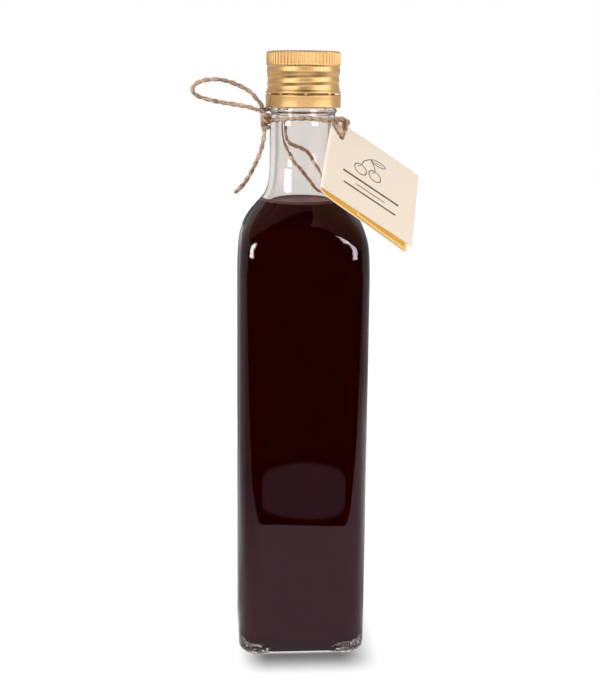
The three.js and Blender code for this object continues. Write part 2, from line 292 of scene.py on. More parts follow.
CURVE_STEPS = 24


def distances(line):
    return np.concatenate([[0], np.cumsum(np.linalg.norm(np.diff(line, axis=0), axis=1))])


def smooth_path(points, step=0.3):
    """Evenly spaced points on the centripetal Catmull-Rom curve through points."""
    p = np.asarray(points, float)
    p = np.vstack([2 * p[0] - p[1], p, 2 * p[-1] - p[-2]])
    line = []
    for i in range(1, len(p) - 2):
        a, b, c, d = p[i - 1:i + 3]
        t1 = math.sqrt(np.linalg.norm(b - a))
        t2 = t1 + math.sqrt(np.linalg.norm(c - b))
        t3 = t2 + math.sqrt(np.linalg.norm(d - c))
        t = np.linspace(t1, t2, CURVE_STEPS, endpoint=False)[:, None]
        ab = (t1 - t) / t1 * a + t / t1 * b
        bc = (t2 - t) / (t2 - t1) * b + (t - t1) / (t2 - t1) * c
        cd = (t3 - t) / (t3 - t2) * c + (t - t2) / (t3 - t2) * d
        abc = (t2 - t) / t2 * ab + t / t2 * bc
        bcd = (t3 - t) / (t3 - t1) * bc + (t - t1) / (t3 - t1) * cd
        line.append((t2 - t) / (t2 - t1) * abc + (t - t1) / (t2 - t1) * bcd)
    line = np.vstack([*line, p[-2]])
    along = distances(line)
    even = np.linspace(0, along[-1], max(3, round(along[-1] / step)) + 1)
    return np.stack([np.interp(even, along, line[:, k]) for k in range(3)], 1)


def across(line):
    """Two directions across the line at each of its points, turning as little as they can."""
    tangent = np.gradient(line, axis=0)
    tangent /= np.linalg.norm(tangent, axis=1)[:, None]
    start = np.cross(tangent[0], [0.3, 0.2, 0.93])
    normals = [start / np.linalg.norm(start)]
    for direction in tangent[1:]:
        level = normals[-1] - direction * np.dot(normals[-1], direction)
        normals.append(level / np.linalg.norm(level))
    normals = np.array(normals)
    return normals, np.cross(tangent, normals)


def points_round(line, angle, radius):
    """Rings of points round the line, at an angle and a radius."""
    normal, binormal = across(line)
    spokes = np.cos(angle)[..., None] * normal[:, None] + np.sin(angle)[..., None] * binormal[:, None]
    return (line[:, None] + radius[..., None] * spokes).reshape(-1, 3)


# Twine: two plies as one twisted surface, with fibre ridges along it

TWINE_SIDES = 22
PLY_RADIUS = 0.63
PLY_OFFSET = 0.32
PLY_PITCH = 7.5
RIDGE_WAVES = (5, 7, 9, 10)
RIDGE_DEPTH = 0.022
RIDGE_DRIFT = 0.8
RIDGE_BEATS = (0.5, 1.4)
UNEVENNESS = 0.05
NARROWEST_END = 0.09


def twisted(line, seed, taper=(0.0, 0.0)):
    """Surface of twine along the line. Taper is how far each end narrows, in millimetres."""
    chance = np.random.default_rng(seed)
    along = distances(line)[:, None]
    side = np.arange(TWINE_SIDES) * 2 * math.pi / TWINE_SIDES
    angle = side + 2 * math.pi * along / PLY_PITCH
    lobes = PLY_OFFSET * np.abs(np.cos(side))
    lobes = lobes + np.sqrt(PLY_RADIUS ** 2 - (PLY_OFFSET * np.sin(side)) ** 2)
    ridges = np.zeros_like(angle)
    for waves in RIDGE_WAVES:
        phase = chance.uniform(0, 2 * math.pi)
        drift = chance.uniform(-RIDGE_DRIFT, RIDGE_DRIFT)
        beat = chance.uniform(*RIDGE_BEATS)
        ridge = RIDGE_DEPTH * np.cos(waves * angle + phase + drift * along)
        ridges += ridge * np.cos(beat * along + phase)
    uneven = UNEVENNESS * np.cos(0.45 * along + seed) * np.cos(0.17 * along)
    radius = lobes * (1 + ridges + uneven)
    for length, reach in zip(taper, (along, along[-1] - along)):
        if length:
            radius = radius * np.sqrt(np.clip(reach / length, NARROWEST_END, 1))
    return points_round(line, angle, radius), tube_faces(len(line), TWINE_SIDES)


# Free ends of the bow, the same routes as in the CAD model
LEFT_LOOP = smooth_path([
    (-17.4, -4.3, 238.8), (-18.3, -3.9, 240.3),
    (-19.9, -3.7, 242.1), (-22.2, -3.2, 244.7), (-25.3, -2.6, 246.8),
    (-28.8, -2.1, 248.3), (-32.5, -1.8, 249.6), (-37.1, -1.6, 250.3), (-41.7, -1.8, 249.9),
    (-45.2, -2.4, 248.6), (-47.0, -3.4, 246.6), (-46.6, -4.5, 244.7), (-44.7, -5.4, 243.3),
    (-41.8, -6.0, 242.3), (-37.6, -6.5, 241.3), (-32.9, -6.8, 240.5), (-27.4, -6.9, 239.7),
    (-23.2, -6.9, 238.9), (-19.7, -6.7, 237.8),
])
LEFT_TAIL = smooth_path([
    (-16.7, -5.0, 228.3), (-17.1, -5.3, 225.6), (-17.6, -5.6, 222.9), (-18.4, -5.8, 220.3),
    (-19.3, -6.0, 217.9), (-20.4, -6.2, 215.5), (-21.6, -6.3, 213.1), (-22.9, -6.4, 210.7),
    (-24.4, -6.4, 208.3), (-26.2, -6.3, 205.9), (-28.5, -6.1, 203.6), (-29.6, -6.0, 202.6),
])
BACK_LOOP = smooth_path([
    (-11.9, 12.8, 232.8), (-11.8, 13.0, 230.2), (-11.5, 13.3, 227.8), (-10.9, 13.8, 225.3),
    (-9.3, 14.9, 222.2), (-6.9, 16.0, 219.3), (-4.0, 16.9, 216.0), (-1.0, 17.4, 213.0),
    (2.2, 18.0, 209.6), (5.5, 18.8, 206.2), (8.4, 19.5, 203.1), (11.2, 20.0, 201.2),
    (13.7, 19.9, 201.4), (15.2, 19.4, 203.6), (14.9, 18.8, 206.6), (12.9, 18.2, 209.3),
    (11.0, 17.5, 211.3), (9.1, 16.9, 213.5), (7.2, 16.8, 216.0), (4.9, 17.0, 218.4),
    (2.2, 17.3, 220.1), (-0.8, 17.3, 221.3), (-4.0, 17.0, 222.2), (-6.9, 16.3, 223.5),
    (-8.7, 15.6, 225.5), (-9.3, 15.2, 227.7), (-9.4, 15.1, 230.2), (-9.5, 15.0, 232.8),
])


def make_free_twine(name, node, line, seed, taper):
    points, faces = twisted(line, seed, taper)
    piece = make_piece(name, points, faces, [JUTE], [node], sharp=70)


make_free_twine("bow_loop", "twine_loop_left", LEFT_LOOP, 3, (0, 0))
make_free_twine("bow_tail", "twine_tail_left", LEFT_TAIL, 5, (0, 1.2))
make_free_twine("hanging_loop", "twine_loop_back", BACK_LOOP, 8, (0, 0))

# The tag's own frame: X from the spine along the card, Y back into the fold, Z up the spine

TAG_HEIGHT = 46
TAG_LOW_CORNER = np.array((4.15, -46.82, 209.16))
TAG_TURN = np.array(
    Matrix.Rotation(math.radians(-54.8), 3, "X")
    @ Matrix.Rotation(math.radians(9.8), 3, "Y")
    @ Matrix.Rotation(math.radians(33.6), 3, "Z"))


def on_tag(points):
    return np.asarray(points, float) @ TAG_TURN.T + TAG_LOW_CORNER


def near_tag(from_spine, below, behind):
    """A place near the tag's top corner, given by its distance below the top edge."""
    return on_tag((from_spine, behind, TAG_HEIGHT - below))


# Twine tied round the neck and through the tag, and the bow's knot

WRAP_RADIUS = 15.3
WRAP_HEIGHT = 232.8
WRAP_FRONT_RISE = 1.8
WRAP_BACK_RISE = 2.6
WRAP_BEFORE_TAG = (199, 215, 232, 250, 268, 284)
WRAP_AFTER_TAG = (-4, 12, 32, 52, 72, 92, 112, 132, 152, 172, 190)
# Places near the tag: distance from the spine, below the top edge and behind the face
WRAP_PAST_TAG = (
    (-4.6, 8.4, -1.6), (-1.9, 5.6, -1.6), (1.3, 2.0, -1.6), (4.2, -0.3, -1.6), (6.7, -0.9, -1.6),
    (7.7, -2.2, 0.3), (7.0, -4.6, 2.6),
)
HITCH = (
    (0.4, 3.0, -1.6), (2.4, 6.2, -1.6), (4.6, 8.5, -1.7), (5.7, 9.2, -0.6), (5.7, 9.2, 1.6),
    (5.7, 9.1, 3.6), (5.5, 8.1, 5.0), (5.1, 6.2, 5.1), (4.8, 3.4, 4.6), (4.6, -0.6, 4.2),
    (4.6, -3.6, 3.1),
)
HITCH_RETURN = ((5.6, 9.0, -1.5), (6.1, 5.0, -1.7), (6.6, -0.6, -1.6))
KNOT = np.array((-16.7, -5.0, 233.4))
# Strands down through the knot and the turns round them, measured from the knot's middle
KNOT_STRANDS = (
    ((-1.4, 1.0, 5.6), (-0.7, 0.5, 2.5), (-0.2, 0.0, -1.5), (0, 0, -5.1)),
    ((-2.9, -1.7, 4.6), (-0.6, -0.9, 3.4), (0.9, 0.3, 0.8), (0.6, 0.6, -3.4)),
)
KNOT_TURNS = 3.3
KNOT_POINTS = 70
KNOT_SHIFT = 0.5
KNOT_HALF_WIDTH = 1.5
KNOT_HALF_DEPTH = 1.9
KNOT_TOP = 4.3
KNOT_DROP = 8.2
KNOT_SLANT = 0.6
NECK_SEED = 20


def wrap_point(degrees):
    angle = math.radians(degrees)
    back = math.sin(angle)
    rise = WRAP_BACK_RISE if back > 0 else -WRAP_FRONT_RISE
    return (WRAP_RADIUS * math.cos(angle), WRAP_RADIUS * back, WRAP_HEIGHT + rise * back)


def knot_turns():
    """Tight turns round the strands that pass down through the knot."""
    turn = np.linspace(0, 1, KNOT_POINTS)
    angle = 2 * math.pi * (KNOT_TURNS * turn + 0.1)
    x = KNOT[0] + KNOT_SHIFT + KNOT_HALF_WIDTH * np.cos(angle)
    y = KNOT[1] + KNOT_HALF_DEPTH * np.sin(angle)
    z = KNOT[2] + KNOT_TOP - KNOT_DROP * turn + KNOT_SLANT * np.sin(angle)
    return np.stack([x, y, z], 1)


def make_neck_twine():
    """The wrap, the hitch through the tag and the knot. Returns their middle lines."""
    wrap = [wrap_point(degrees) for degrees in WRAP_BEFORE_TAG]
    wrap += [near_tag(*place) for place in WRAP_PAST_TAG]
    wrap += [wrap_point(degrees) for degrees in WRAP_AFTER_TAG]
    hitches = [[near_tag(*place) for place in route] for route in (HITCH, HITCH_RETURN)]
    strands = [[KNOT + place for place in route] for route in KNOT_STRANDS]
    lines = [smooth_path(route) for route in (wrap, *hitches, *strands, knot_turns())]
    points, faces = merge([twisted(line, NECK_SEED + i) for i, line in enumerate(lines)])
    make_piece("neck_twine", points, faces, [JUTE], ["twine_neck"], sharp=70)
    return lines


# Loose fibres of the twine

FIBRE_RADIUS = 0.045
FIBRE_TAPER = 0.75
FIBRE_RINGS = 6
FIBRE_SIDES = 3
FIBRE_SEED = 12
FIBRES_PER_MM = 1.6
FIBRE_ROOT = 0.8
FIBRE_LENGTHS = (0.8, 2.6)
FIBRE_BEND = 0.35
# No fibre starts farther left, so that none stands out past the bow's loop
FIBRES_LEFT_END = -44


def fibre(root, direction, bend, length):
    """A thin bent hair that tapers to its tip."""
    steps = np.linspace(0, 1, FIBRE_RINGS)[:, None]
    line = root + direction * length * steps + bend * length * steps ** 2
    angle = np.arange(FIBRE_SIDES) * 2 * math.pi / FIBRE_SIDES
    thick = FIBRE_RADIUS * (1 - FIBRE_TAPER * steps)
    return points_round(line, angle, thick), tube_faces(FIBRE_RINGS, FIBRE_SIDES)


def make_fibres(lines):
    """Loose hairs that stand out of the twine, each one closed."""
    chance = np.random.default_rng(FIBRE_SEED)
    hairs = []
    for line in lines:
        normal, binormal = across(line)
        for _ in range(int(distances(line)[-1] * FIBRES_PER_MM)):
            i = chance.integers(2, len(line) - 2)
            if line[i][0] < FIBRES_LEFT_END:
                continue
            turn = chance.uniform(0, 2 * math.pi)
            out = math.cos(turn) * normal[i] + math.sin(turn) * binormal[i]
            along = (line[i + 1] - line[i - 1]) / np.linalg.norm(line[i + 1] - line[i - 1])
            along = along * chance.choice([-1, 1])
            direction = along * chance.uniform(0.5, 1) + out * chance.uniform(0.2, 0.8)
            bend = chance.normal(0, FIBRE_BEND, 3)
            length = chance.uniform(*FIBRE_LENGTHS)
            hairs.append(fibre(line[i] + out * FIBRE_ROOT, direction, bend, length))
    points, faces = merge(hairs)
    make_piece("jute_fibres", points, faces, [JUTE], sharp=180)


neck_lines = make_neck_twine()
make_fibres([LEFT_LOOP, LEFT_TAIL, BACK_LOOP, *neck_lines])

# Bottle: rounded-square levels with a half width, a height and the radius of the upright edges

BODY_HALF = 27.95
BODY_EDGE_RADIUS = 10
BASE_EDGE_RADIUS = 3
WALL = 3
BASE_THICKNESS = 4
FLOOR_EDGE_RADIUS = 5
SHOULDER_BOTTOM = 161.5
SHOULDER_TOP = 200
SHOULDER_TOP_RADIUS = 18.55
SHOULDER_SLOPE = math.radians(46)
SHOULDER_RISE = 22
SHOULDER_DROP = 12.4
FLARE_LENGTH = 3.3
FLARE_HEIGHT = 9.8
EDGES_FADE_FROM = 180
NECK_BOTTOM = 215
NECK_RADIUS = 14.24
THROAT_BOTTOM = 232.5
THROAT_RADIUS = 13.8
NECK_BEAD = ((13.8, 236.3), (14.0, 236.7), (14.4, 237.0), (14.5, 237.5), (14.4, 238.0), (14.0, 238.4))
MOUTH_RADIUS = 13.5
MOUTH_HEIGHT = 260.8
BORE_RADIUS = 11
# Extra rings keep the shading of the neck's long faces level
NECK_RINGS = (NECK_BOTTOM + 2, THROAT_BOTTOM - 1, THROAT_BOTTOM)
BORE_RINGS = (NECK_BOTTOM + 3, NECK_BOTTOM + 4, MOUTH_HEIGHT)
CAP_BOTTOM = 238.8
GLASS_WAVES = 0.02
WAVES_FROM_RADIUS = 8
SYRUP_LEVEL = 198
# The syrup reaches this far into the glass that it wets, so that no gap shows between them
SYRUP_OVERLAP = 0.15
# Edge of the syrup's surface: distance in from the glass and rise above the level
MENISCUS = ((0, 1.1), (0.3, 0.6), (0.8, 0.28), (1.5, 0.08), (2.6, 0))
MENISCUS_GAP = 0.2
FLAT_STEPS = 6
CORNER_STEPS = 14
FOOT_STEPS = 8
BODY_STEPS = 30
SHOULDER_STEPS = 34


def section_angles():
    start = math.atan((BODY_HALF - BODY_EDGE_RADIUS) / BODY_HALF)
    flat = np.linspace(0, start, FLAT_STEPS, endpoint=False)
    corner = np.linspace(start, math.pi / 4, CORNER_STEPS + 1)
    octant = np.concatenate([flat, corner])
    quarter = np.concatenate([octant, (math.pi / 2 - octant[::-1])[1:-1]])
    return np.concatenate([quarter + math.pi / 2 * i for i in range(4)])


ANGLES = section_angles()


def edge_radius(half, z):
    """Radius of the upright edges, which fade into a round section towards the shoulder's top."""
    t = min(max((z - EDGES_FADE_FROM) / (SHOULDER_TOP - EDGES_FADE_FROM), 0), 1)
    t = t * t * (3 - 2 * t)
    square = max(BODY_EDGE_RADIUS - max(BODY_HALF - half, 0), 1)
    return min(half, square + (half - square) * t)


def section(half, edge):
    """Distance from the middle to a rounded square at each of the section's angles."""
    along = np.maximum(np.abs(np.cos(ANGLES)), np.abs(np.sin(ANGLES)))
    aside = np.minimum(np.abs(np.cos(ANGLES)), np.abs(np.sin(ANGLES)))
    flat = half - edge
    reach = flat * (along + aside)
    corner = reach + np.sqrt(np.maximum(reach ** 2 - 2 * flat ** 2 + edge ** 2, 0))
    return np.where(half * aside <= flat * along, half / along, corner)


def bezier(points, t):
    """Place on a cubic curve and the direction in which it goes on."""
    a, b, c, d = (np.array(p, float) for p in points)
    place = (1 - t) ** 3 * a + 3 * (1 - t) ** 2 * t * b + 3 * (1 - t) * t * t * c + t ** 3 * d
    slope = 3 * ((1 - t) ** 2 * (b - a) + 2 * (1 - t) * t * (c - b) + t * t * (d - c))
    return place, slope / np.linalg.norm(slope)


def shoulder_levels(inset):
    """Levels of the domed shoulder and the flare into the neck, set in from the outside."""
    crest = np.array((SHOULDER_TOP_RADIUS, SHOULDER_TOP))
    slope = np.array((math.cos(SHOULDER_SLOPE), -math.sin(SHOULDER_SLOPE)))
    dome = (
        (BODY_HALF, SHOULDER_BOTTOM), (BODY_HALF, SHOULDER_BOTTOM + SHOULDER_RISE),
        crest + slope * SHOULDER_DROP, crest)
    flare = (
        crest, crest - slope * FLARE_LENGTH,
        (NECK_RADIUS, NECK_BOTTOM - FLARE_HEIGHT), (NECK_RADIUS, NECK_BOTTOM))
    levels = []
    for curve, first in ((dome, 0), (flare, 1)):
        for i in range(first, SHOULDER_STEPS + 1):
            (half, z), (dx, dz) = bezier(curve, i / SHOULDER_STEPS)
            flat = half - edge_radius(half, z)
            inner = half - inset * dz
            levels.append((inner, z + inset * dx, inner - flat))
    return levels


def foot_levels(inset, floor, rounding):
    half, edge = BODY_HALF - inset, BODY_EDGE_RADIUS - inset
    levels = []
    for turn in np.linspace(0, math.pi / 2, FOOT_STEPS + 1):
        pulled_in = rounding * (1 - math.sin(turn))
        levels.append((half - pulled_in, floor + rounding * (1 - math.cos(turn)), edge - pulled_in))
    return levels


def straight_levels(inset, low, high):
    heights = np.linspace(low, high, BODY_STEPS + 2)[1:-1]
    return [(BODY_HALF - inset, z, BODY_EDGE_RADIUS - inset) for z in heights]


def round_level(radius, z):
    return radius, z, radius


def loft(levels):
    """A closed surface through the levels, from a centre point at the first to one at the last."""
    rings = [ring(section(half, edge), ANGLES, z) for half, z, edge in levels[1:-1]]
    sides = len(ANGLES)
    count = len(rings) * sides
    points = np.vstack([*rings, [(0, 0, levels[0][1])], [(0, 0, levels[-1][1])]])
    faces = ring_faces(len(rings), sides)
    faces += [[count, (k + 1) % sides, k] for k in range(sides)]
    faces += [[count - sides + k, count - sides + (k + 1) % sides, count + 1] for k in range(sides)]
    return points, faces


def with_waves(points):
    """The points drawn in a little, in slow waves like those of moulded glass."""
    x, y, z = points.T
    waves = np.sin(0.11 * x + 0.053 * z + 1.3) * np.cos(0.09 * y - 0.071 * z)
    waves += np.sin(0.17 * z + 0.05 * x)
    reach = np.maximum(np.hypot(x, y), WAVES_FROM_RADIUS)
    points[:, :2] *= (1 - GLASS_WAVES * (2 + waves) / reach)[:, None]
    return points


def make_glass():
    """One shell, from the middle of the base up outside and down inside to the floor's middle."""
    outside = [
        (0, 0, 0),
        *foot_levels(0, 0, BASE_EDGE_RADIUS),
        *straight_levels(0, BASE_EDGE_RADIUS, SHOULDER_BOTTOM),
        *shoulder_levels(0),
        *[round_level(NECK_RADIUS, z) for z in NECK_RINGS],
        *[round_level(radius, z) for radius, z in NECK_BEAD],
        round_level(THROAT_RADIUS, CAP_BOTTOM),
        round_level(MOUTH_RADIUS, CAP_BOTTOM + 1),
        round_level(MOUTH_RADIUS, MOUTH_HEIGHT),
    ]
    inside = [
        (0, BASE_THICKNESS, 0),
        *foot_levels(WALL, BASE_THICKNESS, FLOOR_EDGE_RADIUS),
        *straight_levels(WALL, BASE_THICKNESS + FLOOR_EDGE_RADIUS, SHOULDER_BOTTOM),
        *shoulder_levels(WALL),
        *[round_level(BORE_RADIUS, z) for z in BORE_RINGS],
    ]
    points, faces = loft(outside + inside[::-1])
    make_piece(
        "bottle_glass", with_waves(points), faces, [CLEAR_GLASS], ["glass_bottle"],
        sharp=50)


def make_syrup():
    """The syrup up to its level, with a rim that climbs the glass. Its top has its own material."""
    inset = WALL - SYRUP_OVERLAP
    bottom = BASE_THICKNESS - SYRUP_OVERLAP
    sides = [
        *foot_levels(inset, bottom, FLOOR_EDGE_RADIUS),
        *straight_levels(inset, BASE_THICKNESS + FLOOR_EDGE_RADIUS, SHOULDER_BOTTOM),
        *shoulder_levels(inset),
    ]
    climb = SYRUP_LEVEL + MENISCUS[0][1]
    half = np.interp(climb, [z for _, z, _ in sides], [half for half, _, _ in sides])
    below = [level for level in sides if level[1] < climb - MENISCUS_GAP]
    surface = [round_level(half - inward, SYRUP_LEVEL + rise) for inward, rise in MENISCUS]
    points, faces = loft([(0, bottom, 0), *below, *surface, (0, SYRUP_LEVEL, 0)])
    lowest = np.array([points[list(face)][:, 2].min() for face in faces])
    on_top = (lowest >= SYRUP_LEVEL - 1e-6).astype(int).tolist()
    make_piece(
        "syrup_fill", points, faces, [CHERRY_SYRUP, SYRUP_SURFACE], ["syrup"],
        sharp=60, face_materials=on_top)


make_glass()
make_syrup()

# Screw cap, with heights above its lower edge

CAP_HEIGHT = 23.5
CAP_TOP_THICKNESS = 1.1
CAP_INNER_RADIUS = 14.6
CAP_SEGMENTS = 512
CAP_ANGLES = np.arange(CAP_SEGMENTS) * 2 * math.pi / CAP_SEGMENTS
CENTRE_RADIUS = 1e-3
KNURLS = 64
KNURL_DEPTH = 0.36
KNURL_BOTTOM = 17.7
KNURL_TOP = 23.0
KNURL_FADES = (0.35, 0.3)
THREAD_PITCH = 3.2
THREAD_DEPTH = 0.15
THREAD_BOTTOM = 7.2
THREAD_MIDDLE = 10.7
THREAD_TOP = 14.3
THREAD_FADES = (1.2, 1.5)
SLIT_BOTTOM = 5.4
SLIT_TOP = 5.95
BRIDGES = 9
FIRST_BRIDGE = 30
BRIDGE_LOW, BRIDGE_HIGH = SLIT_BOTTOM - 0.25, SLIT_TOP + 0.2
BRIDGE_CORNERS = ((15.2, -0.035), (15.95, -0.035), (15.95, 0.035), (15.2, 0.035))
OUTLINE_STEP = 1 / 3
CAP_OUTLINE = (
    # height, radius
    (SLIT_TOP, 15.85), (6.05, 15.98), (6.3, 15.98), (6.9, 15.78), (7.6, 15.4), (8.4, 15.27),
    (9.5, 15.25), (11, 15.25), (12.5, 15.25), (13.6, 15.32), (15.0, 15.62), (15.7, 15.6),
    (16.6, 15.4), (17.2, 15.42), (17.6, 15.62), (18.0, 15.74), (22.4, 15.74), (22.85, 15.66),
    (23.15, 15.45), (23.35, 15.15), (23.45, 14.7), (CAP_HEIGHT, 13.9),
)
BAND_OUTLINE = (
    # radius, height
    (15.1, 0.1), (15.25, 0), (15.95, 0), (16.08, 0.12), (16.08, 0.6), (16.02, 1.2), (16.02, 3.6),
    (16.1, 4.6), (16.12, 5.0), (16.02, 5.3), (15.8, SLIT_BOTTOM), (15.25, SLIT_BOTTOM), (15.1, 5.3),
)


def turned(outline):
    """Closed surface round the cap's axis through pairs of radius and height."""
    points = np.vstack([ring(radius, CAP_ANGLES, CAP_BOTTOM + height) for radius, height in outline])
    return points, ring_faces(len(outline), CAP_SEGMENTS, joined=True)


def full_between(height, low, high, fades):
    """1 between two heights and 0 beyond them, with a fade inside each."""
    return np.clip((height - low) / fades[0], 0, 1) * np.clip((high - height) / fades[1], 0, 1)


def cap_shell():
    """The cap above its band, with thread rings that rise like a helix and knurls below the top."""
    outline = [(CAP_INNER_RADIUS, SLIT_TOP)]
    groove = np.abs(np.sin(KNURLS / 2 * CAP_ANGLES)) ** 0.8
    for height, radius, _ in smooth_path([(h, r, 0) for h, r in CAP_OUTLINE], OUTLINE_STEP):
        thread = full_between(height, THREAD_BOTTOM, THREAD_TOP, THREAD_FADES)
        turn = 2 * math.pi * (height - THREAD_MIDDLE) / THREAD_PITCH
        wave = np.cos(turn - (CAP_ANGLES + math.pi / 2))
        knurl = full_between(height, KNURL_BOTTOM, KNURL_TOP, KNURL_FADES)
        outline.append((radius + THREAD_DEPTH * thread * wave - KNURL_DEPTH * knurl * groove, height))
    roof = CAP_HEIGHT - CAP_TOP_THICKNESS
    outline += [
        (CENTRE_RADIUS, CAP_HEIGHT), (CENTRE_RADIUS, roof), (CAP_INNER_RADIUS - 1, roof),
        (CAP_INNER_RADIUS - 0.2, roof - 0.6), (CAP_INNER_RADIUS, roof - 2)]
    return turned(outline)


def cap_bridge(number):
    """A short bar that joins the band to the cap across the slit."""
    centre = math.radians(FIRST_BRIDGE + 360 / BRIDGES * number)
    corners = [(r, centre + a, h) for h in (BRIDGE_LOW, BRIDGE_HIGH) for r, a in BRIDGE_CORNERS]
    points = np.array([(r * math.cos(a), r * math.sin(a), CAP_BOTTOM + h) for r, a, h in corners])
    faces = [[3, 2, 1, 0], [4, 5, 6, 7], [0, 1, 5, 4], [1, 2, 6, 5], [2, 3, 7, 6], [3, 0, 4, 7]]
    return points, faces


def make_cap():
    parts = [cap_shell(), turned(BAND_OUTLINE), *[cap_bridge(i) for i in range(BRIDGES)]]
    points, faces = merge(parts)
    make_piece("screw_cap", points, faces, [GOLD], ["cap"], sharp=55)


make_cap()

# Folded tag

CARD = 0.4
CARD_STEP = 0.12
HOLE = (5.7, TAG_HEIGHT - 9.2)
HOLE_RADIUS = 1.45
HOLE_BLOCK = 2.6
HOLE_CELLS = 8
HOLE_SEARCH = 20
# Places between the holes' blocks and the ends, along the card and up it
CARD_PLACES = (26, 34, 60)
HEIGHT_PLACES = (14, 5)
# The third material, on the back leaf, is brown that stands for painted shade
CREAM, ORANGE, PAINTED_SHADE_BACK = range(3)
# Signs of the card's outer side, number 0, and of its inner side, number 1
SIDES = (1, -1)
FOLD_LINE = (
    (47, 0.2), (36, 0.2), (24, 0.2), (12, 0.2), (3, 0.2), (1.0, 0.26), (0.25, 0.75), (0.85, 1.5),
    (3.2, 2.3), (8, 2.9), (18, 3.3), (28, 3.75), (40, 4.3), (46.6, 4.5), (47.35, 4.15), (46.6, 3.8),
    (34, 3.0), (20, 1.8),
)


class Card:
    """The folded card's middle line, with its distance from the start and its outward side."""

    def __init__(self):
        self.line = smooth_path([(x, y, 0) for x, y in FOLD_LINE], CARD_STEP)[:, :2]
        self.along = distances(self.line)
        direction = np.gradient(self.line, axis=0)
        direction /= np.linalg.norm(direction, axis=1)[:, None]
        self.outward = np.stack([-direction[:, 1], direction[:, 0]], 1)
        self.spine = self.along[np.argmin(self.line[:, 0])]
        second_half = len(self.line) // 2
        self.last_leaf = self.along[second_half + np.argmax(self.line[second_half:, 0])]

    def point(self, along, height, side):
        x, y = (np.interp(along, self.along, self.line[:, k]) for k in range(2))
        nx, ny = (np.interp(along, self.along, self.outward[:, k]) for k in range(2))
        out = SIDES[side] * CARD / 2
        return (x + out * nx, y + out * ny, height)

    def color(self, along, side):
        """Material of one side: cream in front, orange inside, and behind a brown that paints the dim
        reddish shade on the leaf that faces the bottle.
        """
        if side == 1 or along > self.last_leaf:
            return ORANGE
        return CREAM if along < self.spine else PAINTED_SHADE_BACK

    def holes(self):
        """Distances along the line at which it passes over the hole in the front and back leaf."""
        found = []
        front = self.along <= self.spine
        back = ~front & (self.along < self.spine + HOLE_SEARCH)
        for leaf in (front, back):
            nearest = np.argmin(np.abs(self.line[leaf, 0] - HOLE[0]))
            found.append(self.along[leaf][nearest])
        return found


def hole_block(centre):
    """Places of the fine cells across a hole."""
    return np.linspace(centre - HOLE_BLOCK, centre + HOLE_BLOCK, HOLE_CELLS + 1)


def with_blocks(blocks, end, counts):
    """Places from 0 to end: those of the blocks, and a count of even ones for each gap between."""
    stops = [0, *[stop for block in blocks for stop in (block[0], block[-1])], end]
    gaps = [np.linspace(stops[2 * i], stops[2 * i + 1], count) for i, count in enumerate(counts)]
    return np.unique(np.concatenate([*gaps, *blocks]))


class TagMesh:
    """Both sides of the card as a grid of faces, with closed edges and two round holes."""

    def __init__(self):
        self.card = Card()
        self.points, self.faces, self.colors = [], [], []
        holes = self.card.holes()
        blocks = [hole_block(centre) for centre in holes]
        height_block = hole_block(HOLE[1])
        self.along = with_blocks(blocks, self.card.along[-1], CARD_PLACES)
        self.height = with_blocks([height_block], TAG_HEIGHT, HEIGHT_PLACES)
        columns = [int(np.searchsorted(self.along, block[0])) for block in blocks]
        row = int(np.searchsorted(self.height, height_block[0]))
        cells = range(HOLE_CELLS)
        self.cut = {(column + i, row + j) for column in columns for i in cells for j in cells}
        for side in range(2):
            self.add_side(side)
        self.add_edges()
        for column, centre in zip(columns, holes):
            self.add_hole(column, row, centre)

    def index(self, i, j, side):
        return (side * len(self.along) + i) * len(self.height) + j

    def add_face(self, corners, color, flip):
        self.faces.append(corners[::-1] if flip else corners)
        self.colors.append(color)

    def add_side(self, side):
        for along in self.along:
            self.points += [self.card.point(along, height, side) for height in self.height]
        for i in range(len(self.along) - 1):
            color = self.card.color(self.along[i], side)
            for j in range(len(self.height) - 1):
                if (i, j) not in self.cut:
                    corners = ((i, j), (i + 1, j), (i + 1, j + 1), (i, j + 1))
                    self.add_face([self.index(*corner, side) for corner in corners], color, side == 0)

    def add_edge(self, start, end, flip):
        corners = ((start, 0), (end, 0), (end, 1), (start, 1))
        self.add_face([self.index(*place, side) for place, side in corners], CREAM, flip)

    def add_edges(self):
        last, top = len(self.along) - 1, len(self.height) - 1
        for i in range(last):
            self.add_edge((i, 0), (i + 1, 0), False)
            self.add_edge((i, top), (i + 1, top), True)
        for j in range(top):
            self.add_edge((0, j), (0, j + 1), True)
            self.add_edge((last, j), (last, j + 1), False)

    def add_hole(self, column, row, centre):
        """A circle on each side, joined to the square gap in the grid, and the wall between them."""
        cells = range(HOLE_CELLS)
        square = [(i, 0) for i in cells] + [(HOLE_CELLS, j) for j in cells]
        square += [(HOLE_CELLS - i, HOLE_CELLS) for i in cells]
        square += [(0, HOLE_CELLS - j) for j in cells]
        count = len(square)
        circles = []
        for side in range(2):
            first = len(self.points)
            circles.append(first)
            for i, j in square:
                turn = math.atan2(j - HOLE_CELLS / 2, i - HOLE_CELLS / 2)
                along = centre + HOLE_RADIUS * math.cos(turn)
                height = HOLE[1] + HOLE_RADIUS * math.sin(turn)
                self.points.append(self.card.point(along, height, side))
            grid = [self.index(column + i, row + j, side) for i, j in square]
            for k in range(count):
                after = (k + 1) % count
                corners = [grid[k], grid[after], first + after, first + k]
                self.add_face(corners, self.card.color(centre, side), side == 0)
        outer, inner = circles
        for k in range(count):
            after = (k + 1) % count
            self.add_face([outer + k, outer + after, inner + after, inner + k], CREAM, True)


def make_tag():
    tag = TagMesh()
    make_piece(
        "folded_tag", on_tag(tag.points), tag.faces, [CREAM_CARD, ORANGE_CARD, PAINTED_SHADE_CARD],
        ["tag"], sharp=35, face_materials=tag.colors)


# Drawing printed on the tag

INK = 0.04
FRUIT_LINE = 0.46
STALK_LINE = 0.42
LEAF_LINE = 0.4
FINE_LINE = 0.3
OVAL_POINTS = 40


